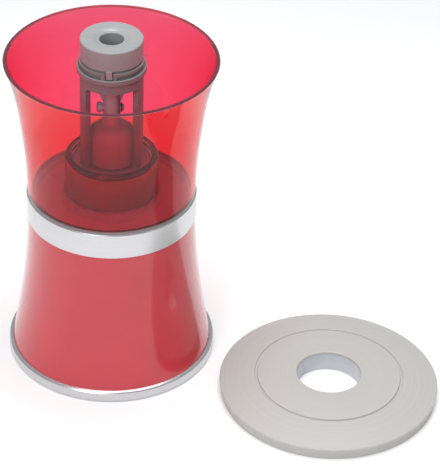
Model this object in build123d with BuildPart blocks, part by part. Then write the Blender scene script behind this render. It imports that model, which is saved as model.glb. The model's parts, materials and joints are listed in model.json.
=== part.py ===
from build123d import *

import os
from math import atan, atan2, cos, hypot, pi, radians, sin, sqrt

# Upright rotary tumbler: a motor base, a ring-shaped bowl, a caged drive column and a lid.
# Millimetres, +Z up. The origin is on the machine's axis, on the surface that it stands on,
# and the front faces -Y. The lid lies on the same surface, in front and to the right.

# ---- Driving dimensions -----------------------------------------------------------------

# Base casing: an hourglass whose outside is one long arc about the waist
SHELL_WALL = 2.5
SHELL_BOTTOM_Z = 9.0
SHELL_TOP_Z = 124.2
WAIST_RADIUS = 64.1
WAIST_Z = 138.0
SHELL_ARC_RADIUS = 594.0

# Base ring, cover and feet
RING_RADIUS = 81.0
RING_BOTTOM_Z = 0.8
RING_INNER_RADIUS = 76.6
COVER_RADIUS = 76.3
COVER_BOTTOM_Z = 2.0
COVER_TOP_Z = 5.0
FOOT_RADIUS = 8.0
FOOT_TOP_Z = 3.2
FOOT_CIRCLE = 60.0
BOSS_CIRCLE = 68.0
BOSS_RADIUS = 5.0
BOSS_TOP_Z = 26.0

# Waist band and the deck inside it
BAND_RADIUS = 64.8
BAND_TOP_Z = 145.0
BAND_INNER_RADIUS = 61.3
DECK_BOTTOM_Z = 134.5
DECK_TOP_Z = 138.5
TOWER_RADIUS = 31.8
TOWER_WALL = 3.0
TOWER_TOP_Z = 173.2
TOWER_SEAT_Z = 168.0
TOWER_FOOT_RADIUS = 39.0
TOWER_FLANGE = 2.5
TOWER_SCREW_CIRCLE = 35.6
TOWER_SCREW_HOLE = 1.3
DECK_HOLE = 26.0

# Bowl
BOWL_WALL = 3.0
FLOOR_Z = 146.6
RIM_RADIUS = 79.9
RIM_Z = 259.4
BOSS_RIM_Z = 178.0
BOSS_OPENING = 30.4
GATE_X = -3.8
GATE_Y = -47.5

# Caged column
CAGE_RADIUS = 23.6
CAGE_WALL = 4.0
CAGE_INNER = CAGE_RADIUS - CAGE_WALL
CAGE_FOOT_RADIUS = 29.3
CAGE_SCREW_CIRCLE = 26.5
CAGE_FOOT_Z = 171.0
WINDOW_HALF_ANGLE = 54.0
WINDOW_TOP_Z = 241.5
WINDOW_CORNER = 4.0
WEB_Z = 244.0
WEB_THICKNESS = 4.0
FLANGE_Z = 249.6
FLANGE_RADIUS = 25.9
FLANGE_TOP_Z = 254.4
FLANGE_FLOOR_Z = 253.6
NECK_RADIUS = 22.0
NECK_TOP_Z = 261.0

# Rail and lug: the gap in the rail sits a little left of the front
RAIL_RADIUS = 24.4
RAIL_BOTTOM_Z = 257.3
RAIL_TOP_Z = 259.4
LUG_ANGLE = -94.6
RAIL_GAP_HALF_ANGLE = 7.6
RAIL_POST_ANGLE = 6.2
LUG_HALF_ANGLE = 5.4

# Head
HEAD_RADIUS = 23.46
HEAD_BOTTOM_Z = 261.4
HEAD_TOP_Z = 276.9
HEAD_BORE = 9.0
HEAD_BORE_BOTTOM_Z = 255.0
HEAD_BORE_TOP_Z = 275.0
SPIGOT_RADIUS = 19.3
SPIGOT_BOTTOM_Z = 250.0

# Rotor
SHAFT_RADIUS = 4.0
RUNNING_GAP = 0.04
HUB_RADIUS = 17.3
HUB_BOTTOM_Z = 173.5
HUB_TOP_Z = 205.0
STEM_RADIUS = 6.5
STEM_SHOULDER_Z = 240.5
JOURNAL_RADIUS = 5.0
JOURNAL_TOP_Z = 252.0
SHAFT_TOP_Z = 236.0
SHAFT_BOTTOM_Z = 51.0
PIN_Z = 217.0
PIN_RADIUS = 2.4

# Gear train
MODULE = 1.0
PRESSURE_ANGLE = radians(20)
ADDENDUM = 0.8
DEDENDUM = 1.1
TOOTH_THINNING = 0.12
FLANK_POINTS = 4
OUTPUT_TEETH = 48
IDLER_SMALL_TEETH = 16
IDLER_LARGE_TEETH = 38
PINION_TEETH = 14
IDLER_Y = MODULE * (OUTPUT_TEETH + IDLER_SMALL_TEETH) / 2
MOTOR_X = -24.0
MOTOR_Y = 22.0
AXLE_RADIUS = 3.0

# Gear plates and posts
PLATE_RADIUS = 56.0
PLATE_THICKNESS = 3.0
LOWER_PLATE_Z = 56.0
UPPER_PLATE_Z = 80.0
POST_CIRCLE = 51.0
POST_ANGLE = 60.0
POST_FLATS = 8.0
SCREW_RADIUS = 1.5
SCREW_HOLE = 1.6

# Motor
MOTOR_RADIUS = 16.0
MOTOR_WALL = 1.5
MAGNET_INNER = 11.6
ARMATURE_RADIUS = 11.0
MOTOR_BOTTOM_Z = 12.0
MOTOR_SHAFT_RADIUS = 2.0
MOTOR_BOSS_RADIUS = 5.5
MOTOR_SCREW_SPACING = 20.0

# Circuit board
BOARD_X = 20.0
BOARD_Y = -22.0
BOARD_LENGTH = 50.0
BOARD_WIDTH = 34.0
BOARD_Z = 12.0
BOARD_THICKNESS = 1.6
BOARD_HOLE_X = 42.0
BOARD_HOLE_Y = 26.0

# Rear panel with the switch and the inlet
PANEL_WIDTH = 60.0
PANEL_HEIGHT = 24.0
PANEL_Z = 30.0
PANEL_FACE_Y = 62.5
PANEL_BACK_Y = 60.0
PANEL_WALL = 2.0
SWITCH_X = 14.0
ROCKER_PIVOT_Y = 62.0
ROCKER_TILT = 8.0
INLET_X = -15.0

# Lid
LID_X = 168.0
LID_Y = -65.5
LID_RADIUS = 84.6
LID_EDGE_Z = 9.3
LID_GROOVE_RADIUS = 56.3
LID_GROOVE_Z = 14.7
LID_TOP_Z = 17.1
LID_HOLE = 24.8
LID_SKIRT_RADIUS = 83.2
LID_SKIRT_INNER = 81.2

QUARTERS = 4


# ---- Helpers ----------------------------------------------------------------------------


def shell_radius(z):
    """Outside radius of the hourglass casing at a height."""
    return WAIST_RADIUS + (WAIST_Z - z) ** 2 / (2 * SHELL_ARC_RADIUS)


def turned_plane(x=0.0, y=0.0):
    """The plane through an upright axis on which a (radius, height) outline is drawn."""
    return Plane(origin=(x, y, 0), x_dir=(1, 0, 0), z_dir=(0, -1, 0))


def turn_outline(points, x=0.0, y=0.0, mode=Mode.ADD):
    """Revolve a closed (radius, height) outline about an upright axis into the open part."""
    with BuildSketch(turned_plane(x, y)) as profile:
        with BuildLine():
            Polyline(*points, close=True)
        make_face()
    revolve(profile.sketch, axis=Axis((x, y, 0), (0, 0, 1)), mode=mode)


def tube(outer, inner, bottom, top, x=0.0, y=0.0):
    """An upright tube in the open part."""
    turn_outline([(inner, bottom), (outer, bottom), (outer, top), (inner, top)], x, y)


def disc(radius, bottom, top, x=0.0, y=0.0, mode=Mode.ADD):
    """An upright cylinder between two heights in the open part."""
    with BuildSketch(Plane.XY.offset(bottom)) as profile:
        with Locations((x, y)):
            Circle(radius)
    extrude(profile.sketch, amount=top - bottom, mode=mode)


def discs_on_circle(radius, pitch_radius, bottom, top, start_angle=45.0, mode=Mode.ADD):
    """Four upright cylinders, spaced evenly round the machine's axis."""
    with BuildSketch(Plane.XY.offset(bottom)) as profile:
        with PolarLocations(pitch_radius, QUARTERS, start_angle=start_angle):
            Circle(radius)
    extrude(profile.sketch, amount=top - bottom, mode=mode)


def posts(radius, bottom, top, mode=Mode.ADD):
    """Four upright cylinders on the circle that the gear plates are held by."""
    discs_on_circle(radius, POST_CIRCLE, bottom, top, POST_ANGLE, mode)


def ring_sector(inner, outer, start_angle, end_angle):
    """A sector of a flat ring in the open sketch."""
    sweep_angle = end_angle - start_angle
    with BuildLine() as outline:
        outer_arc = CenterArc((0, 0), outer, start_angle, sweep_angle)
        inner_arc = CenterArc((0, 0), inner, start_angle, sweep_angle)
        Line(outer_arc @ 0, inner_arc @ 0)
        Line(outer_arc @ 1, inner_arc @ 1)
    make_face(outline.edges())


def involute_angle(base_radius, radius):
    """Polar angle that an involute of the base circle has turned at a radius."""
    roll = sqrt(max((radius / base_radius) ** 2 - 1, 0))
    return roll - atan(roll)


def tooth_flank(teeth):
    """(radius, half angle) from a tooth's root to its tip."""
    pitch_radius = MODULE * teeth / 2
    base_radius = pitch_radius * cos(PRESSURE_ANGLE)
    root_radius = pitch_radius - DEDENDUM * MODULE
    tip_radius = pitch_radius + ADDENDUM * MODULE
    start = max(base_radius, root_radius)
    half_tooth = pi / (2 * teeth) - TOOTH_THINNING / pitch_radius
    at_base = half_tooth + involute_angle(base_radius, pitch_radius)
    flank = []
    for step in range(FLANK_POINTS):
        radius = start + (tip_radius - start) * step / (FLANK_POINTS - 1)
        flank.append((radius, at_base - involute_angle(base_radius, radius)))
    if root_radius < start:
        flank.insert(0, (root_radius, flank[0][1]))
    return flank


def toothed_disc(teeth, first_tooth_angle, bottom, top, x=0.0, y=0.0):
    """A spur gear's toothed rim, with one tooth centred on the given angle in radians."""
    flank = tooth_flank(teeth)
    points = []
    for tooth in range(teeth):
        centre = first_tooth_angle + 2 * pi * tooth / teeth
        outline = [(radius, centre - half) for radius, half in flank]
        outline += [(radius, centre + half) for radius, half in reversed(flank)]
        points += [(x + r * cos(angle), y + r * sin(angle)) for r, angle in outline]
    with BuildSketch(Plane.XY.offset(bottom)) as profile:
        with BuildLine():
            Polyline(*points, close=True)
        make_face()
    extrude(profile.sketch, amount=top - bottom)


def save(builder, name):
    """Label a finished piece and write it to its own file."""
    builder.part.label = name
    export_step(builder.part, f"parts/{name}.step")


# ---- Base casing --------------------------------------------------------------------------


def make_base_shell():
    middle_z = (SHELL_BOTTOM_Z + SHELL_TOP_Z) / 2
    heights = (SHELL_BOTTOM_Z, middle_z, SHELL_TOP_Z)
    with BuildPart() as base_shell:
        with BuildSketch(Plane.XZ):
            with BuildLine():
                outside = ThreePointArc(*[(shell_radius(z), z) for z in heights])
                inside = ThreePointArc(*[(shell_radius(z) - SHELL_WALL, z) for z in heights])
                Line(outside @ 0, inside @ 0)
                Line(outside @ 1, inside @ 1)
            make_face()
        revolve(axis=Axis.Z)
        discs_on_circle(BOSS_RADIUS, BOSS_CIRCLE, COVER_TOP_Z, BOSS_TOP_Z)
        discs_on_circle(
            SCREW_HOLE, BOSS_CIRCLE, COVER_TOP_Z, BOSS_TOP_Z - 4, mode=Mode.SUBTRACT
        )
        with BuildSketch(Plane.XZ.offset(-RING_RADIUS)):
            with Locations((0, PANEL_Z)):
                Rectangle(PANEL_WIDTH + 0.4, PANEL_HEIGHT + 0.4)
        extrude(amount=RING_RADIUS - PANEL_BACK_Y + PANEL_WALL, mode=Mode.SUBTRACT)
    save(base_shell, "base_shell")


def make_base_ring():
    ledge = shell_radius(SHELL_BOTTOM_Z)
    with BuildPart() as base_ring:
        turn_outline(
            [
                (RING_INNER_RADIUS, RING_BOTTOM_Z),
                (RING_RADIUS - 0.6, RING_BOTTOM_Z),
                (RING_RADIUS, RING_BOTTOM_Z + 0.6),
                (RING_RADIUS - 0.2, SHELL_BOTTOM_Z - 1.2),
                (RING_RADIUS - 0.9, SHELL_BOTTOM_Z - 0.4),
                (ledge + 0.1, SHELL_BOTTOM_Z),
                (RING_INNER_RADIUS, SHELL_BOTTOM_Z),
            ]
        )
    save(base_ring, "base_ring")


def make_bottom_cover():
    slot_count = 12
    with BuildPart() as bottom_cover:
        disc(COVER_RADIUS, COVER_BOTTOM_Z, COVER_TOP_Z)
        discs_on_circle(
            FOOT_RADIUS + 0.2, FOOT_CIRCLE, COVER_BOTTOM_Z, FOOT_TOP_Z, 0, Mode.SUBTRACT
        )
        discs_on_circle(SCREW_HOLE, BOSS_CIRCLE, COVER_BOTTOM_Z, COVER_TOP_Z, mode=Mode.SUBTRACT)
        discs_on_circle(
            3.2, BOSS_CIRCLE, COVER_BOTTOM_Z, COVER_BOTTOM_Z + 1.9, mode=Mode.SUBTRACT
        )
        with BuildSketch(Plane.XY.offset(COVER_BOTTOM_Z)):
            with PolarLocations(32, slot_count, start_angle=180 / slot_count):
                SlotOverall(20, 4.2)
        extrude(amount=PLATE_THICKNESS, mode=Mode.SUBTRACT)
        with BuildSketch(Plane.XY.offset(COVER_TOP_Z)):
            with Locations((BOARD_X, BOARD_Y)):
                with GridLocations(BOARD_HOLE_X, BOARD_HOLE_Y, 2, 2):
                    Circle(3)
        extrude(amount=BOARD_Z - COVER_TOP_Z)
        with BuildSketch(Plane.XY.offset(COVER_TOP_Z)):
            with Locations((BOARD_X, BOARD_Y)):
                with GridLocations(BOARD_HOLE_X, BOARD_HOLE_Y, 2, 2):
                    Circle(1.2)
        extrude(amount=BOARD_Z - COVER_TOP_Z, mode=Mode.SUBTRACT)
    save(bottom_cover, "bottom_cover")


def make_rubber_feet():
    with BuildPart() as rubber_feet:
        discs_on_circle(FOOT_RADIUS, FOOT_CIRCLE, 0, FOOT_TOP_Z, 0)
        lowest = rubber_feet.faces().group_by(Axis.Z)[0]
        chamfer(lowest.edges(), length=0.5)
    save(rubber_feet, "rubber_feet")


def make_cover_screws():
    head_bottom = COVER_BOTTOM_Z + 0.1
    with BuildPart() as cover_screws:
        discs_on_circle(2.9, BOSS_CIRCLE, head_bottom, COVER_BOTTOM_Z + 1.9)
        discs_on_circle(SCREW_RADIUS, BOSS_CIRCLE, COVER_BOTTOM_Z + 1.9, BOSS_TOP_Z - 6)
    save(cover_screws, "cover_screws")


def make_waist_band():
    spigot_z = SHELL_TOP_Z - 5
    with BuildPart() as waist_band:
        turn_outline(
            [
                (60.0, spigot_z),
                (61.5, spigot_z),
                (61.5, SHELL_TOP_Z),
                (BAND_RADIUS - 0.4, SHELL_TOP_Z),
                (BAND_RADIUS, SHELL_TOP_Z + 0.4),
                (BAND_RADIUS, BAND_TOP_Z - 0.7),
                (BAND_RADIUS - 0.7, BAND_TOP_Z),
                (BAND_INNER_RADIUS, BAND_TOP_Z),
                (BAND_INNER_RADIUS, DECK_BOTTOM_Z),
                (58.0, DECK_BOTTOM_Z),
                (58.0, DECK_BOTTOM_Z - 3.5),
                (60.0, DECK_BOTTOM_Z - 5.5),
            ]
        )
    save(waist_band, "waist_band")


def make_deck_plate():
    with BuildPart() as deck_plate:
        tube(BAND_INNER_RADIUS - 0.3, DECK_HOLE, DECK_BOTTOM_Z, DECK_TOP_Z)
        posts(SCREW_HOLE, DECK_BOTTOM_Z, DECK_TOP_Z, Mode.SUBTRACT)
        posts(3.1, DECK_TOP_Z - 2, DECK_TOP_Z, Mode.SUBTRACT)
        discs_on_circle(
            TOWER_SCREW_HOLE, TOWER_SCREW_CIRCLE, DECK_BOTTOM_Z, DECK_TOP_Z, mode=Mode.SUBTRACT
        )
    save(deck_plate, "deck_plate")


def make_drive_tower():
    inner = TOWER_RADIUS - TOWER_WALL
    plate_bottom = TOWER_SEAT_Z - 3.5
    seal_bottom = TOWER_SEAT_Z - 2.5
    bush_bottom = 150.0
    flange_top = DECK_TOP_Z + TOWER_FLANGE
    with BuildPart() as drive_tower:
        turn_outline(
            [
                (TOWER_FOOT_RADIUS, DECK_TOP_Z),
                (TOWER_FOOT_RADIUS, flange_top),
                (TOWER_RADIUS, flange_top),
                (TOWER_RADIUS, TOWER_TOP_Z),
                (CAGE_FOOT_RADIUS + 0.3, TOWER_TOP_Z),
                (CAGE_FOOT_RADIUS + 0.3, TOWER_SEAT_Z),
                (8.0, TOWER_SEAT_Z),
                (8.0, seal_bottom),
                (7.0, seal_bottom),
                (7.0, bush_bottom),
                (11.0, bush_bottom),
                (11.0, plate_bottom),
                (inner, plate_bottom),
                (inner, DECK_TOP_Z),
            ]
        )
        discs_on_circle(
            SCREW_HOLE, TOWER_SCREW_CIRCLE, DECK_TOP_Z, flange_top, mode=Mode.SUBTRACT
        )
        discs_on_circle(
            SCREW_HOLE - 0.3, CAGE_SCREW_CIRCLE, plate_bottom, TOWER_SEAT_Z, mode=Mode.SUBTRACT
        )
    save(drive_tower, "drive_tower")


def make_tower_screws():
    flange_top = DECK_TOP_Z + TOWER_FLANGE
    with BuildPart() as tower_screws:
        discs_on_circle(2.4, TOWER_SCREW_CIRCLE, flange_top, flange_top + 1.5)
        discs_on_circle(
            TOWER_SCREW_HOLE - 0.1, TOWER_SCREW_CIRCLE, DECK_BOTTOM_Z + 0.5, flange_top
        )
    save(tower_screws, "tower_screws")


# ---- Bowl ---------------------------------------------------------------------------------


def make_bowl():
    base_radius = WAIST_RADIUS
    wall_heights = (BAND_TOP_Z, 170.0, 200.0, 230.0, RIM_Z - 0.8)
    wall_radii = (base_radius, 64.85, 67.75, 72.1, RIM_RADIUS)
    foot_outer = BAND_INNER_RADIUS - 0.5
    foot_bottom = DECK_TOP_Z + 0.4
    with BuildPart() as bowl:
        with BuildSketch(Plane.XZ):
            with BuildLine():
                outside = Spline(*zip(wall_radii, wall_heights))
                inside_points = [(r - BOWL_WALL, z) for r, z in zip(wall_radii, wall_heights)]
                inside_points[0] = (base_radius - BOWL_WALL, FLOOR_Z + 2)
                inside = Spline(*inside_points)
                Polyline(
                    outside @ 1,
                    (RIM_RADIUS - 0.7, RIM_Z),
                    (RIM_RADIUS - BOWL_WALL + 0.7, RIM_Z),
                    inside @ 1,
                )
                floor_edge = (base_radius - BOWL_WALL - 2, FLOOR_Z)
                corner = (base_radius - BOWL_WALL - 0.59, FLOOR_Z + 0.59)
                ThreePointArc(inside @ 0, corner, floor_edge)
                Polyline(
                    floor_edge,
                    (36.8, FLOOR_Z),
                    (36.0, FLOOR_Z + 0.8),
                    (35.0, BOSS_RIM_Z - 1.4),
                    (33.9, BOSS_RIM_Z),
                    (BOSS_OPENING + 0.6, BOSS_RIM_Z),
                    (BOSS_OPENING, BOSS_RIM_Z - 0.6),
                    (BOSS_OPENING, BOSS_RIM_Z - 2.6),
                    (32.5, BOSS_RIM_Z - 2.6),
                    (33.4, FLOOR_Z - BOWL_WALL),
                    (foot_outer - 3.3, FLOOR_Z - BOWL_WALL),
                    (foot_outer - 3.3, foot_bottom),
                    (foot_outer, foot_bottom),
                    (foot_outer, BAND_TOP_Z),
                    outside @ 0,
                )
            make_face()
        revolve(axis=Axis.Z)
        disc(2.6, FLOOR_Z - 1, FLOOR_Z + 0.35, GATE_X, GATE_Y)
        disc(0.9, FLOOR_Z - 1, FLOOR_Z + 0.9, GATE_X, GATE_Y)
    save(bowl, "bowl")


def make_bowl_gasket():
    with BuildPart() as bowl_gasket:
        tube(32.2, BOSS_OPENING + 0.2, TOWER_TOP_Z + 0.1, BOSS_RIM_Z - 2.6)
    save(bowl_gasket, "bowl_gasket")


# ---- Column -------------------------------------------------------------------------------


def make_column_cage():
    with BuildPart() as column_cage:
        turn_outline(
            [
                (9.0, TOWER_SEAT_Z),
                (CAGE_FOOT_RADIUS, TOWER_SEAT_Z),
                (CAGE_FOOT_RADIUS, CAGE_FOOT_Z),
                (CAGE_RADIUS, CAGE_FOOT_Z),
                (CAGE_RADIUS, FLANGE_Z),
                (FLANGE_RADIUS - 1.0, FLANGE_Z),
                (FLANGE_RADIUS - 0.3, FLANGE_Z + 0.3),
                (FLANGE_RADIUS, FLANGE_Z + 1.0),
                (FLANGE_RADIUS, FLANGE_TOP_Z - 0.7),
                (FLANGE_RADIUS - 0.2, FLANGE_TOP_Z - 0.2),
                (FLANGE_RADIUS - 0.7, FLANGE_TOP_Z),
                (FLANGE_RADIUS - 1.1, FLANGE_TOP_Z - 0.1),
                (FLANGE_RADIUS - 1.3, FLANGE_FLOOR_Z),
                (NECK_RADIUS, FLANGE_FLOOR_Z),
                (NECK_RADIUS, NECK_TOP_Z),
                (CAGE_INNER, NECK_TOP_Z),
                (CAGE_INNER, WEB_Z + WEB_THICKNESS),
                (8.0, WEB_Z + WEB_THICKNESS),
                (8.0, WEB_Z),
                (CAGE_INNER, WEB_Z),
                (CAGE_INNER, CAGE_FOOT_Z),
                (9.0, CAGE_FOOT_Z),
            ]
        )
        with BuildSketch(Plane.XY.offset(CAGE_FOOT_Z)):
            for front in (-90, 90):
                start = front - WINDOW_HALF_ANGLE
                ring_sector(CAGE_INNER - 1, FLANGE_RADIUS, start, front + WINDOW_HALF_ANGLE)
        extrude(amount=WINDOW_TOP_Z - CAGE_FOOT_Z, mode=Mode.SUBTRACT)
        corners = column_cage.edges().filter_by(GeomType.LINE).filter_by(
            lambda edge: abs(edge.center().Z - WINDOW_TOP_Z) < 0.01
        )
        fillet(corners, radius=WINDOW_CORNER)
        discs_on_circle(
            SCREW_HOLE, CAGE_SCREW_CIRCLE, TOWER_SEAT_Z, CAGE_FOOT_Z, mode=Mode.SUBTRACT
        )
    save(column_cage, "column_cage")


def make_latch_rail():
    gap_left = LUG_ANGLE - RAIL_GAP_HALF_ANGLE
    gap_right = LUG_ANGLE + RAIL_GAP_HALF_ANGLE
    with BuildPart() as latch_rail:
        with BuildSketch(Plane.XY.offset(RAIL_BOTTOM_Z)):
            ring_sector(NECK_RADIUS, RAIL_RADIUS, gap_right, gap_left + 360)
        extrude(amount=RAIL_TOP_Z - RAIL_BOTTOM_Z)
        for start in (gap_left - RAIL_POST_ANGLE, gap_right):
            with BuildSketch(Plane.XY.offset(FLANGE_FLOOR_Z)):
                ring_sector(NECK_RADIUS, RAIL_RADIUS, start, start + RAIL_POST_ANGLE)
            extrude(amount=RAIL_BOTTOM_Z - FLANGE_FLOOR_Z)
    save(latch_rail, "latch_rail")


def make_cage_screws():
    with BuildPart() as cage_screws:
        discs_on_circle(2.5, CAGE_SCREW_CIRCLE, CAGE_FOOT_Z, CAGE_FOOT_Z + 1.8)
        discs_on_circle(SCREW_HOLE - 0.4, CAGE_SCREW_CIRCLE, TOWER_SEAT_Z - 3, CAGE_FOOT_Z)
    save(cage_screws, "cage_screws")


def make_top_bush():
    with BuildPart() as top_bush:
        tube(8.0, JOURNAL_RADIUS + RUNNING_GAP, WEB_Z - 2, WEB_Z + WEB_THICKNESS + 1)
        tube(10.5, JOURNAL_RADIUS + RUNNING_GAP, WEB_Z - 2, WEB_Z)
    save(top_bush, "top_bush")


def make_head_cap():
    groove_z = SPIGOT_BOTTOM_Z + 2.1
    with BuildPart() as head_cap:
        turn_outline(
            [
                (HEAD_BORE, HEAD_BORE_BOTTOM_Z),
                (11.5, HEAD_BORE_BOTTOM_Z),
                (11.5, HEAD_TOP_Z - 4.4),
                (17.0, HEAD_TOP_Z - 4.4),
                (17.0, SPIGOT_BOTTOM_Z),
                (SPIGOT_RADIUS, SPIGOT_BOTTOM_Z),
                (SPIGOT_RADIUS, groove_z),
                (SPIGOT_RADIUS - 1.3, groove_z),
                (SPIGOT_RADIUS - 1.3, groove_z + 1.8),
                (SPIGOT_RADIUS, groove_z + 1.8),
                (SPIGOT_RADIUS, HEAD_BOTTOM_Z),
                (HEAD_RADIUS, HEAD_BOTTOM_Z),
                (HEAD_RADIUS, HEAD_TOP_Z - 1.1),
                (HEAD_RADIUS - 0.15, HEAD_TOP_Z - 0.55),
                (HEAD_RADIUS - 0.55, HEAD_TOP_Z - 0.15),
                (HEAD_RADIUS - 1.1, HEAD_TOP_Z),
                (14.2, HEAD_TOP_Z),
                (12.6, HEAD_TOP_Z - 0.5),
                (11.4, HEAD_TOP_Z - 1.1),
                (10.4, HEAD_TOP_Z - 1.0),
                (9.6, HEAD_TOP_Z - 1.2),
                (9.15, HEAD_TOP_Z - 1.6),
                (HEAD_BORE, HEAD_BORE_TOP_Z - 0.2),
            ]
        )
        with BuildSketch(Plane.XY.offset(FLANGE_TOP_Z + 0.7)):
            ring_sector(
                NECK_RADIUS + 0.3,
                RAIL_RADIUS,
                LUG_ANGLE - LUG_HALF_ANGLE,
                LUG_ANGLE + LUG_HALF_ANGLE,
            )
        extrude(amount=HEAD_BOTTOM_Z - FLANGE_TOP_Z - 0.7)
    save(head_cap, "head_cap")


def make_head_seal():
    seal_z = SPIGOT_BOTTOM_Z + 3
    with BuildPart() as head_seal:
        with BuildSketch(Plane.XZ):
            with Locations((SPIGOT_RADIUS - 0.55, seal_z)):
                Circle(0.75)
        revolve(axis=Axis.Z)
    save(head_seal, "head_seal")


# ---- Rotor --------------------------------------------------------------------------------


def make_hub_dome():
    with BuildPart() as hub_dome:
        with BuildSketch(Plane.XZ):
            with BuildLine():
                crown = ThreePointArc((HUB_RADIUS, 193.0), (14.9, 201.2), (8.0, HUB_TOP_Z))
                Polyline(
                    crown @ 1,
                    (SHAFT_RADIUS, HUB_TOP_Z),
                    (SHAFT_RADIUS, HUB_BOTTOM_Z),
                    (8.0, HUB_BOTTOM_Z),
                    (8.0, 192.0),
                    (HUB_RADIUS - 2.5, 190.0),
                    (HUB_RADIUS - 2.5, HUB_BOTTOM_Z),
                    (HUB_RADIUS, HUB_BOTTOM_Z),
                    crown @ 0,
                )
            make_face()
        revolve(axis=Axis.Z)
    save(hub_dome, "hub_dome")


def drill_for_pin():
    """The cross hole for the pin, through whatever the open part is."""
    with BuildSketch(Plane.YZ.offset(-HUB_RADIUS)) as profile:
        with Locations((0, PIN_Z)):
            Circle(PIN_RADIUS)
    extrude(profile.sketch, amount=2 * HUB_RADIUS, mode=Mode.SUBTRACT)


def make_rotor_stem():
    rib_bottom = 220.4
    rib_top = STEM_SHOULDER_Z - 0.5
    with BuildPart() as rotor_stem:
        turn_outline(
            [
                (SHAFT_RADIUS, HUB_TOP_Z),
                (8.0, HUB_TOP_Z),
                (7.0, HUB_TOP_Z + 2),
                (STEM_RADIUS, HUB_TOP_Z + 6),
                (STEM_RADIUS, STEM_SHOULDER_Z),
                (JOURNAL_RADIUS, STEM_SHOULDER_Z),
                (JOURNAL_RADIUS, JOURNAL_TOP_Z - 0.5),
                (JOURNAL_RADIUS - 0.5, JOURNAL_TOP_Z),
                (0, JOURNAL_TOP_Z),
                (0, SHAFT_TOP_Z),
                (SHAFT_RADIUS, SHAFT_TOP_Z),
            ]
        )
        for side in (-1, 1):
            with BuildSketch(Plane.XZ):
                with BuildLine():
                    Polyline(
                        (side * (STEM_RADIUS - 0.6), rib_bottom),
                        (side * 13.2, rib_top),
                        (side * (STEM_RADIUS - 0.6), rib_top),
                        close=True,
                    )
                make_face()
            extrude(amount=1.8, both=True)
        drill_for_pin()
    save(rotor_stem, "rotor_stem")


def make_drive_shaft():
    groove_z = LOWER_PLATE_Z - 3
    with BuildPart() as drive_shaft:
        turn_outline(
            [
                (0, SHAFT_BOTTOM_Z),
                (SHAFT_RADIUS - 0.5, SHAFT_BOTTOM_Z),
                (SHAFT_RADIUS, SHAFT_BOTTOM_Z + 0.5),
                (SHAFT_RADIUS, groove_z),
                (SHAFT_RADIUS - 0.6, groove_z),
                (SHAFT_RADIUS - 0.6, groove_z + 1.2),
                (SHAFT_RADIUS, groove_z + 1.2),
                (SHAFT_RADIUS, SHAFT_TOP_Z),
                (0, SHAFT_TOP_Z),
            ]
        )
        drill_for_pin()
    save(drive_shaft, "drive_shaft")


def make_shaft_clip():
    groove_z = LOWER_PLATE_Z - 3
    with BuildPart() as shaft_clip:
        tube(6.5, SHAFT_RADIUS - 0.6, groove_z, groove_z + 1.2)
    save(shaft_clip, "shaft_clip")


def make_cross_pin():
    with BuildPart() as cross_pin:
        with BuildSketch(Plane.XZ):
            with BuildLine():
                Polyline(
                    (-11.1, PIN_Z),
                    (-11.1, PIN_Z + 2.6),
                    (-10.7, PIN_Z + 3.5),
                    (-9.9, PIN_Z + 4.0),
                    (-8.0, PIN_Z + 4.0),
                    (-7.6, PIN_Z + 3.2),
                    (-6.7, PIN_Z + 3.2),
                    (-6.7, PIN_Z + PIN_RADIUS),
                    (8.8, PIN_Z + PIN_RADIUS),
                    (9.2, PIN_Z + PIN_RADIUS - 0.4),
                    (9.2, PIN_Z),
                    close=True,
                )
            make_face()
        revolve(axis=Axis((0, 0, PIN_Z), (1, 0, 0)))
    save(cross_pin, "cross_pin")


def make_pin_clip():
    with BuildPart() as pin_clip:
        with BuildSketch(Plane.YZ.offset(6.8)):
            with Locations((0, PIN_Z)):
                Circle(3.7)
                Circle(PIN_RADIUS, mode=Mode.SUBTRACT)
        extrude(amount=0.9)
    save(pin_clip, "pin_clip")


# ---- Gear train ---------------------------------------------------------------------------


def make_output_gear():
    gear_bottom = 71.0
    gear_top = 77.0
    with BuildPart() as output_gear:
        toothed_disc(OUTPUT_TEETH, pi / 2, gear_bottom, gear_top)
        disc(9.0, LOWER_PLATE_Z + PLATE_THICKNESS + 1.7, gear_bottom)
        disc(SHAFT_RADIUS, LOWER_PLATE_Z, gear_top, mode=Mode.SUBTRACT)
    save(output_gear, "output_gear")


def make_idler_gear():
    large_bottom = 62.0
    large_top = 68.0
    small_top = 78.0
    lower_hub = LOWER_PLATE_Z + PLATE_THICKNESS + 0.4
    motor_angle = atan2(MOTOR_Y - IDLER_Y, MOTOR_X)
    small_first = -pi / 2 + pi / IDLER_SMALL_TEETH
    with BuildPart() as idler_gear:
        toothed_disc(IDLER_LARGE_TEETH, motor_angle, large_bottom, large_top, 0, IDLER_Y)
        toothed_disc(IDLER_SMALL_TEETH, small_first, large_top, small_top, 0, IDLER_Y)
        disc(6.0, lower_hub, large_bottom, 0, IDLER_Y)
        disc(5.0, small_top, UPPER_PLATE_Z - 0.4, 0, IDLER_Y)
        disc(
            AXLE_RADIUS + RUNNING_GAP, lower_hub, UPPER_PLATE_Z, 0, IDLER_Y, mode=Mode.SUBTRACT
        )
    save(idler_gear, "idler_gear")


def make_idler_axle():
    with BuildPart() as idler_axle:
        disc(AXLE_RADIUS, LOWER_PLATE_Z, UPPER_PLATE_Z + PLATE_THICKNESS + 2, 0, IDLER_Y)
        chamfer(idler_axle.faces().sort_by(Axis.Z)[-1].edges(), length=0.5)
    save(idler_axle, "idler_axle")


def make_idler_clip():
    clip_z = UPPER_PLATE_Z + PLATE_THICKNESS
    with BuildPart() as idler_clip:
        tube(5.5, AXLE_RADIUS, clip_z, clip_z + 1, 0, IDLER_Y)
    save(idler_clip, "idler_clip")


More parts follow.
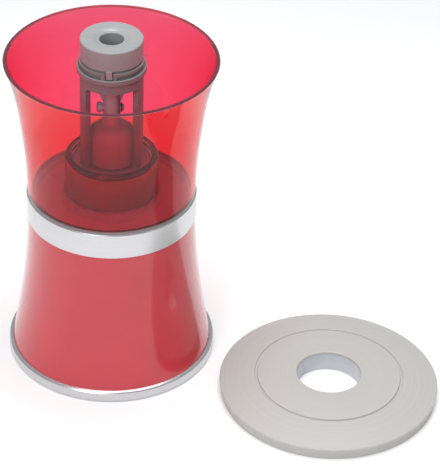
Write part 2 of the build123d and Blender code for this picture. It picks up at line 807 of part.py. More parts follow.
def make_motor_pinion():
    motor_angle = atan2(MOTOR_Y - IDLER_Y, MOTOR_X)
    first_tooth = motor_angle + pi + pi / PINION_TEETH
    with BuildPart() as motor_pinion:
        toothed_disc(PINION_TEETH, first_tooth, 61.5, 68.5, MOTOR_X, MOTOR_Y)
        disc(MOTOR_SHAFT_RADIUS, 61.5, 68.5, MOTOR_X, MOTOR_Y, mode=Mode.SUBTRACT)
    save(motor_pinion, "motor_pinion")


def drill_posts_and_axle():
    """Holes that both gear plates share: four post screws and the idler's axle."""
    posts(SCREW_HOLE, LOWER_PLATE_Z, SHELL_TOP_Z, Mode.SUBTRACT)
    disc(AXLE_RADIUS, LOWER_PLATE_Z, SHELL_TOP_Z, 0, IDLER_Y, mode=Mode.SUBTRACT)


def motor_screw_points():
    """Plan positions of the two screws that hold the motor, each side of its shaft."""
    reach = hypot(MOTOR_X, MOTOR_Y)
    along = (MOTOR_X / reach, MOTOR_Y / reach)
    half = MOTOR_SCREW_SPACING / 2
    return [(MOTOR_X + s * half * along[0], MOTOR_Y + s * half * along[1]) for s in (-1, 1)]


def make_lower_plate():
    top = LOWER_PLATE_Z + PLATE_THICKNESS
    with BuildPart() as lower_plate:
        disc(PLATE_RADIUS, LOWER_PLATE_Z, top)
        disc(6.0, LOWER_PLATE_Z, top, mode=Mode.SUBTRACT)
        disc(MOTOR_BOSS_RADIUS, LOWER_PLATE_Z, top, MOTOR_X, MOTOR_Y, mode=Mode.SUBTRACT)
        for x, y in motor_screw_points():
            disc(SCREW_HOLE, LOWER_PLATE_Z, top, x, y, mode=Mode.SUBTRACT)
        drill_posts_and_axle()
    save(lower_plate, "lower_plate")


def make_upper_plate():
    with BuildPart() as upper_plate:
        disc(PLATE_RADIUS, UPPER_PLATE_Z, UPPER_PLATE_Z + PLATE_THICKNESS)
        disc(5.5, LOWER_PLATE_Z, SHELL_TOP_Z, mode=Mode.SUBTRACT)
        drill_posts_and_axle()
    save(upper_plate, "upper_plate")


def make_plate_spacers():
    with BuildPart() as plate_spacers:
        posts(POST_FLATS / 2, LOWER_PLATE_Z + PLATE_THICKNESS, UPPER_PLATE_Z)
        posts(SCREW_HOLE, LOWER_PLATE_Z, UPPER_PLATE_Z, Mode.SUBTRACT)
    save(plate_spacers, "plate_spacers")


def make_support_posts():
    bottom = UPPER_PLATE_Z + PLATE_THICKNESS
    with BuildPart() as support_posts:
        with BuildSketch(Plane.XY.offset(bottom)):
            with PolarLocations(POST_CIRCLE, QUARTERS, start_angle=POST_ANGLE):
                RegularPolygon(POST_FLATS / 2, 6, major_radius=False)
        extrude(amount=DECK_BOTTOM_Z - bottom)
        posts(SCREW_HOLE, bottom, bottom + 12, Mode.SUBTRACT)
        posts(SCREW_HOLE, DECK_BOTTOM_Z - 12, DECK_BOTTOM_Z, Mode.SUBTRACT)
    save(support_posts, "support_posts")


def make_plate_screws():
    top = UPPER_PLATE_Z + PLATE_THICKNESS + 10
    with BuildPart() as plate_screws:
        posts(2.9, LOWER_PLATE_Z - 2.4, LOWER_PLATE_Z)
        posts(SCREW_RADIUS, LOWER_PLATE_Z, top)
    save(plate_screws, "plate_screws")


def make_post_screws():
    with BuildPart() as post_screws:
        posts(2.9, DECK_TOP_Z - 2, DECK_TOP_Z - 0.1)
        posts(SCREW_RADIUS, DECK_BOTTOM_Z - 10, DECK_TOP_Z - 2)
    save(post_screws, "post_screws")


def make_lower_bush():
    with BuildPart() as lower_bush:
        bore = SHAFT_RADIUS + RUNNING_GAP
        tube(6.0, bore, LOWER_PLATE_Z - 1.4, LOWER_PLATE_Z + PLATE_THICKNESS + 1.4)
        tube(7.5, bore, LOWER_PLATE_Z - 1.4, LOWER_PLATE_Z)
    save(lower_bush, "lower_bush")


def make_upper_bush():
    with BuildPart() as upper_bush:
        tube(7.0, SHAFT_RADIUS + RUNNING_GAP, 150.0, TOWER_SEAT_Z - 2.5)
    save(upper_bush, "upper_bush")


def make_shaft_seal():
    with BuildPart() as shaft_seal:
        tube(8.0, SHAFT_RADIUS + 0.08, TOWER_SEAT_Z - 2.5, TOWER_SEAT_Z)
    save(shaft_seal, "shaft_seal")


# ---- Motor --------------------------------------------------------------------------------


def make_motor_can():
    inner = MOTOR_RADIUS - MOTOR_WALL
    bore = MOTOR_SHAFT_RADIUS + RUNNING_GAP
    with BuildPart() as motor_can:
        turn_outline(
            [
                (inner, MOTOR_BOTTOM_Z),
                (MOTOR_RADIUS, MOTOR_BOTTOM_Z),
                (MOTOR_RADIUS, LOWER_PLATE_Z - 1),
                (MOTOR_RADIUS - 1, LOWER_PLATE_Z),
                (MOTOR_BOSS_RADIUS, LOWER_PLATE_Z),
                (MOTOR_BOSS_RADIUS, LOWER_PLATE_Z + PLATE_THICKNESS),
                (bore, LOWER_PLATE_Z + PLATE_THICKNESS),
                (bore, LOWER_PLATE_Z - 2),
                (inner, LOWER_PLATE_Z - 2),
            ],
            MOTOR_X,
            MOTOR_Y,
        )
        for x, y in motor_screw_points():
            disc(SCREW_RADIUS, LOWER_PLATE_Z - 2, LOWER_PLATE_Z, x, y, mode=Mode.SUBTRACT)
    save(motor_can, "motor_can")


def make_motor_magnets():
    outer = MOTOR_RADIUS - MOTOR_WALL
    with BuildPart() as motor_magnets:
        for start in (20, 200):
            with BuildSketch(Plane((MOTOR_X, MOTOR_Y, 18))):
                ring_sector(MAGNET_INNER, outer, start, start + 140)
            extrude(amount=30)
    save(motor_magnets, "motor_magnets")


def make_motor_end_cap():
    bore = MOTOR_SHAFT_RADIUS + RUNNING_GAP
    inner = MOTOR_RADIUS - MOTOR_WALL
    with BuildPart() as motor_end_cap:
        tube(MOTOR_RADIUS, bore, MOTOR_BOTTOM_Z - 3, MOTOR_BOTTOM_Z, MOTOR_X, MOTOR_Y)
        tube(inner - 0.2, inner - 2, MOTOR_BOTTOM_Z, MOTOR_BOTTOM_Z + 3, MOTOR_X, MOTOR_Y)
        with BuildSketch(Plane.XY.offset(MOTOR_BOTTOM_Z - 5)):
            with Locations((MOTOR_X - 9, MOTOR_Y), (MOTOR_X + 9, MOTOR_Y)):
                Rectangle(0.8, 4)
        extrude(amount=2)
    save(motor_end_cap, "motor_end_cap")


def make_motor_screws():
    top = LOWER_PLATE_Z + PLATE_THICKNESS
    with BuildPart() as motor_screws:
        for x, y in motor_screw_points():
            disc(2.6, top, top + 1.8, x, y)
            disc(SCREW_RADIUS, LOWER_PLATE_Z - 2, top, x, y)
    save(motor_screws, "motor_screws")


def make_motor_shaft():
    with BuildPart() as motor_shaft:
        disc(MOTOR_SHAFT_RADIUS, MOTOR_BOTTOM_Z - 3, 69.5, MOTOR_X, MOTOR_Y)
    save(motor_shaft, "motor_shaft")


def make_armature_core():
    slots = 5
    with BuildPart() as armature_core:
        with BuildSketch(Plane((MOTOR_X, MOTOR_Y, 20))):
            Circle(ARMATURE_RADIUS)
            with PolarLocations(ARMATURE_RADIUS - 1.6, slots):
                Rectangle(6, 2.4, mode=Mode.SUBTRACT)
            Circle(MOTOR_SHAFT_RADIUS, mode=Mode.SUBTRACT)
        extrude(amount=26)
    save(armature_core, "armature_core")


# ---- Electronics and rear panel -----------------------------------------------------------


def board_points():
    """Plan positions of the board's four screws."""
    half_x = BOARD_HOLE_X / 2
    half_y = BOARD_HOLE_Y / 2
    return [(BOARD_X + i * half_x, BOARD_Y + j * half_y) for i in (-1, 1) for j in (-1, 1)]


def make_driver_board():
    with BuildPart() as driver_board:
        with BuildSketch(Plane((BOARD_X, BOARD_Y, BOARD_Z))):
            RectangleRounded(BOARD_LENGTH, BOARD_WIDTH, 2)
            with GridLocations(BOARD_HOLE_X, BOARD_HOLE_Y, 2, 2):
                Circle(SCREW_HOLE, mode=Mode.SUBTRACT)
        extrude(amount=BOARD_THICKNESS)
    save(driver_board, "driver_board")


def make_board_screws():
    top = BOARD_Z + BOARD_THICKNESS
    with BuildPart() as board_screws:
        for x, y in board_points():
            disc(2.5, top, top + 1.6, x, y)
            disc(1.1, COVER_TOP_Z + 1, top, x, y)
    save(board_screws, "board_screws")


def make_board_capacitor():
    top = BOARD_Z + BOARD_THICKNESS
    with BuildPart() as board_capacitor:
        disc(5.0, top, top + 12, BOARD_X - 14, BOARD_Y)
        fillet(board_capacitor.faces().sort_by(Axis.Z)[-1].edges(), radius=0.8)
    save(board_capacitor, "board_capacitor")


def make_board_terminal():
    top = BOARD_Z + BOARD_THICKNESS
    with BuildPart() as board_terminal:
        with BuildSketch(Plane((BOARD_X + 17, BOARD_Y, top))):
            Rectangle(8, 15)
        extrude(amount=9)
        with BuildSketch(Plane((BOARD_X + 17, BOARD_Y, top + 9))):
            with GridLocations(0, 5, 1, 3):
                Circle(1.7)
        extrude(amount=-5, mode=Mode.SUBTRACT)
    save(board_terminal, "board_terminal")


def make_board_heatsink():
    top = BOARD_Z + BOARD_THICKNESS
    with BuildPart() as board_heatsink:
        with BuildSketch(Plane((BOARD_X + 2, BOARD_Y + 2, top))):
            Rectangle(14, 20)
        extrude(amount=2)
        with BuildSketch(Plane((BOARD_X + 2, BOARD_Y + 2, top + 2))):
            with GridLocations(3.1, 0, 5, 1):
                Rectangle(1.2, 20)
        extrude(amount=10)
    save(board_heatsink, "board_heatsink")


def panel_sketch(width, height):
    """A rectangle centred on the rear panel, in the open sketch."""
    with Locations((0, PANEL_Z)):
        Rectangle(width, height)


def make_rear_panel():
    low = PANEL_Z - PANEL_HEIGHT / 2 - 1
    high = PANEL_Z + PANEL_HEIGHT / 2 + 1
    proud = 0.4
    with BuildPart() as rear_panel:
        with BuildSketch(Plane.XZ.offset(-PANEL_BACK_Y)):
            panel_sketch(PANEL_WIDTH, PANEL_HEIGHT)
        extrude(amount=PANEL_BACK_Y - RING_RADIUS)
        with BuildSketch(Plane.XZ.offset(-PANEL_FACE_Y)):
            panel_sketch(PANEL_WIDTH - 2 * PANEL_WALL, PANEL_HEIGHT - 2 * PANEL_WALL)
        extrude(amount=PANEL_FACE_Y - RING_RADIUS, mode=Mode.SUBTRACT)
        turn_outline(
            [
                (shell_radius(low) + proud, low),
                (RING_RADIUS + PANEL_HEIGHT, low),
                (RING_RADIUS + PANEL_HEIGHT, high),
                (shell_radius(high) + proud, high),
            ],
            mode=Mode.SUBTRACT,
        )
        with BuildSketch(Plane.XZ.offset(-PANEL_BACK_Y)):
            with Locations((SWITCH_X, PANEL_Z)):
                Rectangle(18.6, 12.6)
            with Locations((INLET_X, PANEL_Z)):
                Circle(5.5)
        extrude(amount=PANEL_BACK_Y - PANEL_FACE_Y, mode=Mode.SUBTRACT)
    save(rear_panel, "rear_panel")


def make_switch_housing():
    with BuildPart() as switch_housing:
        with BuildSketch(Plane.XZ.offset(-PANEL_FACE_Y)):
            with Locations((SWITCH_X, PANEL_Z)):
                RectangleRounded(21, 15, 1)
        extrude(amount=-1.5)
        with BuildSketch(Plane.XZ.offset(-PANEL_FACE_Y)):
            with Locations((SWITCH_X, PANEL_Z)):
                Rectangle(18.4, 12.4)
        extrude(amount=10.5)
        with BuildSketch(Plane.XZ.offset(-PANEL_FACE_Y - 1.5)):
            with Locations((SWITCH_X, PANEL_Z)):
                Rectangle(15.6, 9.8)
        extrude(amount=7, mode=Mode.SUBTRACT)
        with BuildSketch(Plane((SWITCH_X, ROCKER_PIVOT_Y, PANEL_Z - 5.8))):
            Circle(1.0 + RUNNING_GAP)
        extrude(amount=11.6, mode=Mode.SUBTRACT)
        with BuildSketch(Plane.XZ.offset(-PANEL_FACE_Y + 10.5)):
            with Locations((SWITCH_X - 4, PANEL_Z), (SWITCH_X + 4, PANEL_Z)):
                Rectangle(0.8, 4.8)
        extrude(amount=6)
    save(switch_housing, "switch_housing")


def make_switch_rocker():
    tilted = Plane((SWITCH_X, ROCKER_PIVOT_Y, PANEL_Z - 4.6)).rotated((0, 0, -ROCKER_TILT))
    with BuildPart() as switch_rocker:
        with BuildSketch(tilted):
            with BuildLine():
                crown = ThreePointArc((-7.2, 3.4), (0, 2.2), (7.2, 3.4))
                Polyline(crown @ 1, (7.2, -1.5), (-7.2, -1.5), crown @ 0)
            make_face()
        extrude(amount=9.2)
        with BuildSketch(Plane((SWITCH_X, ROCKER_PIVOT_Y, PANEL_Z - 5.6))):
            Circle(1.0)
        extrude(amount=11.2)
    save(switch_rocker, "switch_rocker")


def make_power_inlet():
    face = Plane.XZ.offset(-PANEL_FACE_Y)
    mouth = Plane.XZ.offset(-PANEL_FACE_Y - 1.5)
    with BuildPart() as power_inlet:
        with BuildSketch(face):
            with Locations((INLET_X, PANEL_Z)):
                Circle(6.6)
        extrude(amount=-1.5)
        with BuildSketch(face):
            with Locations((INLET_X, PANEL_Z)):
                Circle(5.4)
        extrude(amount=12)
        with BuildSketch(mouth):
            with Locations((INLET_X, PANEL_Z)):
                Circle(2.75)
        extrude(amount=10, mode=Mode.SUBTRACT)
        with BuildSketch(mouth):
            with Locations((INLET_X, PANEL_Z)):
                Circle(1.0)
        extrude(amount=13.5, mode=Mode.SUBTRACT)
    save(power_inlet, "power_inlet")


def make_inlet_pin():
    with BuildPart() as inlet_pin:
        with BuildSketch(Plane.XZ.offset(-PANEL_FACE_Y)):
            with Locations((INLET_X, PANEL_Z)):
                Circle(1.0)
        extrude(amount=16)
    save(inlet_pin, "inlet_pin")


# ---- Lid ----------------------------------------------------------------------------------


def make_lid_plate():
    plate = 2.0
    with BuildPart() as lid_plate:
        with BuildSketch(turned_plane(LID_X, LID_Y)):
            with BuildLine():
                slope = ThreePointArc(
                    (LID_RADIUS - 0.4, LID_EDGE_Z),
                    (71.5, 12.3),
                    (LID_GROOVE_RADIUS + 1.5, LID_GROOVE_Z),
                )
                crown = ThreePointArc(
                    (LID_GROOVE_RADIUS - 1.3, LID_GROOVE_Z + 0.3),
                    (41.5, 16.5),
                    (LID_HOLE + 1.0, LID_TOP_Z),
                )
                Polyline(
                    slope @ 1,
                    (LID_GROOVE_RADIUS + 1.2, LID_GROOVE_Z - 0.15),
                    (LID_GROOVE_RADIUS + 0.9, LID_GROOVE_Z - 1.0),
                    (LID_GROOVE_RADIUS - 0.6, LID_GROOVE_Z - 1.0),
                    (LID_GROOVE_RADIUS - 1.0, LID_GROOVE_Z + 0.1),
                    crown @ 0,
                )
                Polyline(
                    crown @ 1,
                    (LID_HOLE + 0.3, LID_TOP_Z - 0.3),
                    (LID_HOLE, LID_TOP_Z - 0.9),
                    (LID_HOLE, LID_TOP_Z - plate),
                    (LID_GROOVE_RADIUS - 8, LID_GROOVE_Z - 1.8),
                    (LID_GROOVE_RADIUS + 6, LID_GROOVE_Z - 3.1),
                    (LID_SKIRT_INNER, LID_EDGE_Z - 1.8),
                    (LID_SKIRT_INNER, 0),
                    (LID_SKIRT_RADIUS, 0),
                    (LID_SKIRT_RADIUS, LID_EDGE_Z - 2.4),
                    (LID_RADIUS - 0.2, LID_EDGE_Z - 2.1),
                    (LID_RADIUS, LID_EDGE_Z - 0.5),
                    slope @ 0,
                )
            make_face()
        revolve(axis=Axis((LID_X, LID_Y, 0), (0, 0, 1)))
    save(lid_plate, "lid_plate")


def make_lid_tube():
    with BuildPart() as lid_tube:
        tube(LID_HOLE + 2, LID_HOLE, 0, LID_TOP_Z - 2.2, LID_X, LID_Y)
        tube(34.0, LID_HOLE + 2, 12.7, 14.2, LID_X, LID_Y)
    save(lid_tube, "lid_tube")


def make_lid_gasket():
    with BuildPart() as lid_gasket:
        tube(LID_SKIRT_INNER - 0.2, 76.5, 5.1, LID_EDGE_Z - 1.9, LID_X, LID_Y)
    save(lid_gasket, "lid_gasket")


def main():
    os.makedirs("parts", exist_ok=True)
    make_base_shell()
    make_base_ring()
    make_bottom_cover()
    make_rubber_feet()
    make_cover_screws()
    make_waist_band()
    make_deck_plate()
    make_drive_tower()
    make_tower_screws()
    make_bowl()
    make_bowl_gasket()
    make_column_cage()
    make_latch_rail()
    make_cage_screws()
    make_top_bush()
    make_head_cap()
    make_head_seal()
    make_hub_dome()
    make_rotor_stem()
    make_drive_shaft()
    make_shaft_clip()
    make_cross_pin()
    make_pin_clip()
    make_output_gear()
    make_idler_gear()
    make_idler_axle()
    make_idler_clip()
    make_motor_pinion()
    make_lower_plate()
    make_upper_plate()
    make_plate_spacers()
    make_support_posts()
    make_plate_screws()
    make_post_screws()
    make_lower_bush()
    make_upper_bush()
    make_shaft_seal()
    make_motor_can()
    make_motor_magnets()
    make_motor_end_cap()
    make_motor_screws()
    make_motor_shaft()
    make_armature_core()
    make_driver_board()
    make_board_screws()
    make_board_capacitor()
    make_board_terminal()
    make_board_heatsink()
    make_rear_panel()
    make_switch_housing()
    make_switch_rocker()
    make_power_inlet()
    make_inlet_pin()
    make_lid_plate()
    make_lid_tube()
    make_lid_gasket()


main()
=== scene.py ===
import json
import math

import bmesh
import bpy
from mathutils import Euler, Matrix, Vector


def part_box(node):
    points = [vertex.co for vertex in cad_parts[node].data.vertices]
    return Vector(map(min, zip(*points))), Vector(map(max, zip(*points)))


# Looks for the upright tumbler: a procedural material for every node's record slot, soft studio
# light and a view from above the front. Metres.

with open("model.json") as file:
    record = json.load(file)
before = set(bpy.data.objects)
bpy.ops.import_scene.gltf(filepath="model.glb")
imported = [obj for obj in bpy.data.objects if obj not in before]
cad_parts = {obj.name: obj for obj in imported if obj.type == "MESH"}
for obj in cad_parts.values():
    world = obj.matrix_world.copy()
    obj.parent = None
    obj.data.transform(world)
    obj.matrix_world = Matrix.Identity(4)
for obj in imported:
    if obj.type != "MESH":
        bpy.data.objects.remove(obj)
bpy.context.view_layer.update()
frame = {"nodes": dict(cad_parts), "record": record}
NODES = frame["nodes"]

MM = 0.001

CAMERA_PLACE = (0, -1.4706, 1.1323)
CAMERA_DIP = 35.035
CAMERA_TURN = -3.2636
CAMERA_ROLL = 1.867
LENS_LENGTH = 176.98
SENSOR_WIDTH = 36.0
VIEW_DEPTH = 50.0

FLOOR_RADIUS = 2.2
FLOOR_GLOW = 0.12
ROOM_COLOUR = (0.9, 0.92, 0.95)
ROOM_STRENGTH = 0.48

# The bowl's painted-light zones: the lip fades in below its top, the floor above its lowest point.
# Both turn partly diffuse and tinted as painted light standing in for light carried through the red
# plastic: dark maroon at the lip, a pale pink brightening at the floor.
LIP_FADE = (1.6 * MM, 0.6 * MM)
LIP_PAINTED_LIGHT = 0.4
FLOOR_FADE = (9.0 * MM, 8.4 * MM)
FLOOR_PAINTED_LIGHT = 0.25
# Colours blended for the painted light on the lip and floor: clear, then painted maroon.
CLEAR_UNPAINTED = (1.0, 1.0, 1.0)
PAINTED_LIGHT_MAROON = (0.36, 0.07, 0.1)
BOWL_TINT = (0.96, 0.024, 0.272)
BOWL_TINT_DENSITY = 820.0
BOWL_IOR = 1.4

SLOT_OF = {part["node"]: part["material_slot"] for part in frame["record"]["subparts"]}


# ---- Shader helpers ------------------------------------------------------------------------


def new_material(name):
    """A material with an empty node tree apart from a Principled shader and its output."""
    material = bpy.data.materials.new(name)
    material.use_nodes = True
    tree = material.node_tree
    tree.nodes.clear()
    shader = tree.nodes.new("ShaderNodeBsdfPrincipled")
    output = tree.nodes.new("ShaderNodeOutputMaterial")
    tree.links.new(shader.outputs["BSDF"], output.inputs["Surface"])
    return material, tree, shader


def coordinates(tree, stretch=(1, 1, 1)):
    """Object coordinates in metres, stretched along the axes."""
    source = tree.nodes.new("ShaderNodeTexCoord")
    mapping = tree.nodes.new("ShaderNodeMapping")
    mapping.inputs["Scale"].default_value = stretch
    tree.links.new(source.outputs["Object"], mapping.inputs["Vector"])
    return mapping.outputs["Vector"]


def spun_coordinates(tree, centre):
    """Distance from an upright axis and height, so that noise on it runs round in rings."""
    source = tree.nodes.new("ShaderNodeTexCoord")
    flat = tree.nodes.new("ShaderNodeVectorMath")
    flat.operation = "MULTIPLY_ADD"
    flat.inputs[1].default_value = (1, 1, 0)
    flat.inputs[2].default_value = (-centre[0], -centre[1], 0)
    tree.links.new(source.outputs["Object"], flat.inputs[0])
    radius = tree.nodes.new("ShaderNodeVectorMath")
    radius.operation = "LENGTH"
    tree.links.new(flat.outputs["Vector"], radius.inputs[0])
    height = tree.nodes.new("ShaderNodeSeparateXYZ")
    tree.links.new(source.outputs["Object"], height.inputs["Vector"])
    joined = tree.nodes.new("ShaderNodeCombineXYZ")
    tree.links.new(radius.outputs["Value"], joined.inputs["X"])
    tree.links.new(height.outputs["Z"], joined.inputs["Y"])
    return joined.outputs["Vector"]


def noise(tree, vector, scale, detail=3.0, roughness=0.5):
    """A noise texture's factor."""
    node = tree.nodes.new("ShaderNodeTexNoise")
    node.inputs["Scale"].default_value = scale
    node.inputs["Detail"].default_value = detail
    node.inputs["Roughness"].default_value = roughness
    tree.links.new(vector, node.inputs["Vector"])
    return node.outputs["Fac"]


def spread(tree, factor, low, high):
    """A 0-1 factor mapped onto a range of numbers."""
    node = tree.nodes.new("ShaderNodeMapRange")
    node.inputs["From Min"].default_value = 0.25
    node.inputs["From Max"].default_value = 0.75
    node.inputs["To Min"].default_value = low
    node.inputs["To Max"].default_value = high
    tree.links.new(factor, node.inputs["Value"])
    return node.outputs["Result"]


def height_ramp(tree, vector, start, end):
    """0 at one height and 1 at the other."""
    split = tree.nodes.new("ShaderNodeSeparateXYZ")
    tree.links.new(vector, split.inputs["Vector"])
    node = tree.nodes.new("ShaderNodeMapRange")
    node.inputs["From Min"].default_value = start
    node.inputs["From Max"].default_value = end
    tree.links.new(split.outputs["Z"], node.inputs["Value"])
    return node.outputs["Result"]


def scaled(tree, factor, amount, added=None):
    """A factor times a number, plus another factor if there is one."""
    node = tree.nodes.new("ShaderNodeMath")
    node.operation = "MULTIPLY_ADD"
    node.inputs[1].default_value = amount
    node.inputs[2].default_value = 0.0
    tree.links.new(factor, node.inputs[0])
    if added:
        tree.links.new(added, node.inputs[2])
    return node.outputs["Value"]


def blend_colours(tree, factor, first, second):
    """Two colours mixed by a factor."""
    node = tree.nodes.new("ShaderNodeMix")
    node.data_type = "RGBA"
    node.inputs["A"].default_value = (*first, 1)
    node.inputs["B"].default_value = (*second, 1)
    tree.links.new(factor, node.inputs["Factor"])
    return node.outputs["Result"]


def bump(tree, shader, height, strength, distance):
    """A fine relief on the shader's normal."""
    node = tree.nodes.new("ShaderNodeBump")
    node.inputs["Strength"].default_value = strength
    node.inputs["Distance"].default_value = distance
    tree.links.new(height, node.inputs["Height"])
    tree.links.new(node.outputs["Normal"], shader.inputs["Normal"])


def moulded(name, colour, roughness, grain=1400.0, relief=0.15, coat=0.0):
    """Moulded plastic: slight mottling, fine grain and a roughness that varies with the grain."""
    material, tree, shader = new_material(name)
    where = coordinates(tree)
    broad = noise(tree, where, 34.0, 4.0)
    fine = noise(tree, where, grain, 2.0)
    deep = tuple(c * 0.93 for c in colour)
    light = tuple(min(1.0, c * 1.05) for c in colour)
    shade = blend_colours(tree, spread(tree, broad, 0.0, 1.0), deep, light)
    tree.links.new(shade, shader.inputs["Base Color"])
    rough = spread(tree, fine, roughness * 0.85, roughness * 1.15)
    tree.links.new(rough, shader.inputs["Roughness"])
    shader.inputs["Coat Weight"].default_value = coat
    shader.inputs["Coat Roughness"].default_value = 0.04
    bump(tree, shader, fine, relief, 0.00005)
    return material


def metal(name, colour, roughness, grain=900.0, stretch=(1, 1, 1)):
    """Bare metal: fine brushing in its colour, roughness and relief."""
    material, tree, shader = new_material(name)
    where = coordinates(tree, stretch)
    fine = noise(tree, where, grain, 3.0, 0.6)
    broad = noise(tree, where, 25.0, 3.0)
    deep = tuple(c * 0.9 for c in colour)
    light = tuple(min(1.0, c * 1.08) for c in colour)
    shade = blend_colours(tree, spread(tree, fine, 0.0, 1.0), deep, light)
    tree.links.new(shade, shader.inputs["Base Color"])
    rough = spread(tree, broad, roughness * 0.9, roughness * 1.1)
    tree.links.new(rough, shader.inputs["Roughness"])
    shader.inputs["Metallic"].default_value = 1.0
    bump(tree, shader, fine, 0.2, 0.00004)
    return material


def spun_metal(name, colour, roughness, centre, metallic):
    """Metallic paint on a turned part: fine flake with faint rings about the part's axis."""
    material, tree, shader = new_material(name)
    flake = noise(tree, coordinates(tree), 1600.0, 2.0)
    rings = noise(tree, spun_coordinates(tree, centre), 1300.0, 2.0, 0.4)
    cloud = noise(tree, coordinates(tree), 22.0, 3.0)
    deep = tuple(c * 0.95 for c in colour)
    light = tuple(min(1.0, c * 1.05) for c in colour)
    shade = blend_colours(tree, spread(tree, rings, 0.0, 1.0), deep, light)
    tree.links.new(shade, shader.inputs["Base Color"])
    rough = spread(tree, cloud, roughness * 0.92, roughness * 1.08)
    tree.links.new(rough, shader.inputs["Roughness"])
    shader.inputs["Metallic"].default_value = metallic
    bump(tree, shader, flake, 0.07, 0.00004)
    return material


def middle(node):
    """The middle of a node's box, seen from above."""
    low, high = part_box(node)
    return ((low[0] + high[0]) / 2, (low[1] + high[1]) / 2)


def clear_red():
    """Tinted clear plastic: absorption gives it its colour, and its lip and floor carry painted light,
    partly diffuse in maroon and pale pink.
    """
    material, tree, shader = new_material("clear_red")
    where = coordinates(tree)
    low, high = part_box("bowl")
    lip = height_ramp(tree, where, high[2] - LIP_FADE[0], high[2] - LIP_FADE[1])
    floor = height_ramp(tree, where, low[2] + FLOOR_FADE[0], low[2] + FLOOR_FADE[1])
    scuffs = noise(tree, where, 60.0, 5.0, 0.6)
    # Painted light: the lip and floor lose transmission and take a diffuse maroon tint, standing in
    # for light carried through the plastic.
    painted_light_weight = scaled(tree, lip, LIP_PAINTED_LIGHT, scaled(tree, floor, FLOOR_PAINTED_LIGHT))
    painted_light_mask = scaled(tree, lip, 1.0, scaled(tree, floor, FLOOR_PAINTED_LIGHT))
    shade = blend_colours(tree, painted_light_mask, CLEAR_UNPAINTED, PAINTED_LIGHT_MAROON)
    tree.links.new(shade, shader.inputs["Base Color"])
    clear = tree.nodes.new("ShaderNodeMath")
    clear.operation = "SUBTRACT"
    clear.inputs[0].default_value = 1.0
    tree.links.new(painted_light_weight, clear.inputs[1])
    tree.links.new(clear.outputs["Value"], shader.inputs["Transmission Weight"])
    shader.inputs["IOR"].default_value = BOWL_IOR
    rough = spread(tree, scuffs, 0.0, 0.03)
    tree.links.new(rough, shader.inputs["Roughness"])
    absorb = tree.nodes.new("ShaderNodeVolumeAbsorption")
    absorb.inputs["Color"].default_value = (*BOWL_TINT, 1)
    absorb.inputs["Density"].default_value = BOWL_TINT_DENSITY
    output = next(n for n in tree.nodes if n.type == "OUTPUT_MATERIAL")
    tree.links.new(absorb.outputs["Volume"], output.inputs["Volume"])
    return material


MATERIALS = {
    "red_gloss": moulded(
        "red_gloss", (0.56, 0.012, 0.028), 0.18, grain=500.0, relief=0.02, coat=0.8
    ),
    "red_clear": clear_red(),
    "silver_trim": spun_metal("silver_trim", (0.63, 0.63, 0.64), 0.26, middle("waist_band"), 0.95),
    "lid_silver": spun_metal("lid_silver", (0.47, 0.463, 0.44), 0.5, middle("lid_plate"), 0.0),
    "lid_inner": moulded("lid_inner", (0.52, 0.54, 0.57), 0.3),
    "column_grey": moulded("column_grey", (0.26, 0.25, 0.255), 0.38),
    "head_grey": moulded("head_grey", (0.34, 0.34, 0.34), 0.28),
    "hub_grey": moulded("hub_grey", (0.5, 0.46, 0.48), 0.32),
    "deck_grey": moulded("deck_grey", (0.86, 0.84, 0.84), 0.4),
    "tower_grey": moulded("tower_grey", (0.7, 0.67, 0.67), 0.4),
    "dark_grey": moulded("dark_grey", (0.06, 0.06, 0.065), 0.45),
    "black_plastic": moulded("black_plastic", (0.015, 0.015, 0.017), 0.5, grain=900.0, relief=0.4),
    "rubber": moulded("rubber", (0.02, 0.02, 0.02), 0.8, grain=900.0, relief=0.4),
    "seal_rubber": moulded("seal_rubber", (0.025, 0.025, 0.025), 0.7, grain=900.0, relief=0.3),
    "screw_steel": metal("screw_steel", (0.55, 0.55, 0.56), 0.3),
    "shaft_steel": metal("shaft_steel", (0.62, 0.62, 0.63), 0.22, stretch=(1, 1, 12)),
    "plate_steel": metal("plate_steel", (0.5, 0.5, 0.51), 0.35, grain=700.0, stretch=(1, 8, 1)),
    "bearing_bronze": metal("bearing_bronze", (0.5, 0.3, 0.12), 0.4),
    "pinion_brass": metal("pinion_brass", (0.7, 0.5, 0.2), 0.25),
    "gear_plastic": moulded("gear_plastic", (0.74, 0.71, 0.62), 0.45),
    "board_green": moulded("board_green", (0.015, 0.12, 0.04), 0.3, grain=500.0, relief=0.1, coat=0.4),
}


def dress(item, slot):
    """One material on every face of an object."""
    item.data.materials.clear()
    item.data.materials.append(MATERIALS[slot])


for node_name, node in NODES.items():
    dress(node, SLOT_OF[node_name])


# ---- Camera and light ------------------------------------------------------------------------


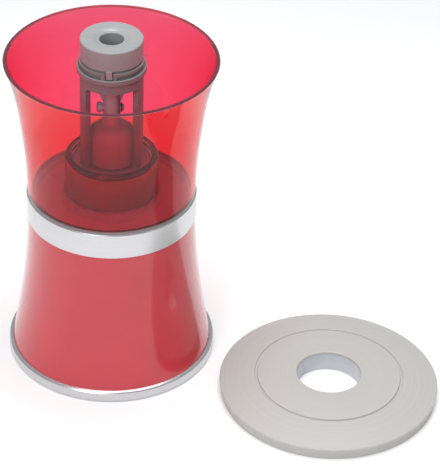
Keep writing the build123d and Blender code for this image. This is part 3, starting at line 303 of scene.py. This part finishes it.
def place_camera():
    """A long lens above the front, turned a little to the side and slightly rolled."""
    data = bpy.data.cameras.new("camera")
    data.lens = LENS_LENGTH
    data.sensor_width = SENSOR_WIDTH
    data.clip_end = VIEW_DEPTH
    camera = bpy.data.objects.new("camera", data)
    bpy.context.scene.collection.objects.link(camera)
    camera.location = CAMERA_PLACE
    turn = (math.radians(90 - CAMERA_DIP), 0, math.radians(CAMERA_TURN))
    aim = Euler(turn, "XYZ").to_quaternion()
    roll = Euler((0, 0, math.radians(CAMERA_ROLL)), "XYZ").to_quaternion()
    camera.rotation_mode = "QUATERNION"
    camera.rotation_quaternion = aim @ roll
    bpy.context.scene.camera = camera


def add_softbox(name, place, target, width, height, power, beam=180):
    """A rectangular area light aimed at a point, with its beam's width in degrees."""
    data = bpy.data.lights.new(name, "AREA")
    data.shape = "RECTANGLE"
    data.size = width
    data.size_y = height
    data.energy = power
    data.spread = math.radians(beam)
    light = bpy.data.objects.new(name, data)
    bpy.context.scene.collection.objects.link(light)
    light.location = place
    light.rotation_euler = (Vector(target) - Vector(place)).to_track_quat("-Z", "Y").to_euler()


def make_floor():
    """A plain pale floor with a little glow of its own, so that it stays white."""
    mesh = bpy.data.meshes.new("floor")
    build = bmesh.new()
    bmesh.ops.create_circle(build, cap_ends=True, segments=96, radius=FLOOR_RADIUS)
    build.to_mesh(mesh)
    build.free()
    floor = bpy.data.objects.new("floor", mesh)
    bpy.context.scene.collection.objects.link(floor)
    material, tree, shader = new_material("floor_white")
    shade = blend_colours(
        tree, noise(tree, coordinates(tree), 3.0), (0.86, 0.86, 0.86), (0.88, 0.88, 0.88)
    )
    tree.links.new(shade, shader.inputs["Base Color"])
    shader.inputs["Roughness"].default_value = 0.7
    shader.inputs["Emission Color"].default_value = (1, 1, 1, 1)
    shader.inputs["Emission Strength"].default_value = FLOOR_GLOW
    mesh.materials.append(material)


def make_world():
    """A soft grey room."""
    world = bpy.data.worlds.new("room")
    world.use_nodes = True
    background = world.node_tree.nodes["Background"]
    background.inputs["Color"].default_value = (*ROOM_COLOUR, 1)
    background.inputs["Strength"].default_value = ROOM_STRENGTH
    bpy.context.scene.world = world


place_camera()
make_floor()
make_world()
add_softbox(
    "top_light",
    place=(0.12, 0.05, 1.75),
    target=(0.12, 0.0, 0.0),
    width=1.1,
    height=1.1,
    power=5.0,
    beam=75,
)
add_softbox(
    "key_light",
    place=(-0.7, -1.5, 1.3),
    target=(0, 0, 0.12),
    width=0.8,
    height=0.9,
    power=12.5,
)
bpy.context.scene.view_settings.view_transform = "Standard"
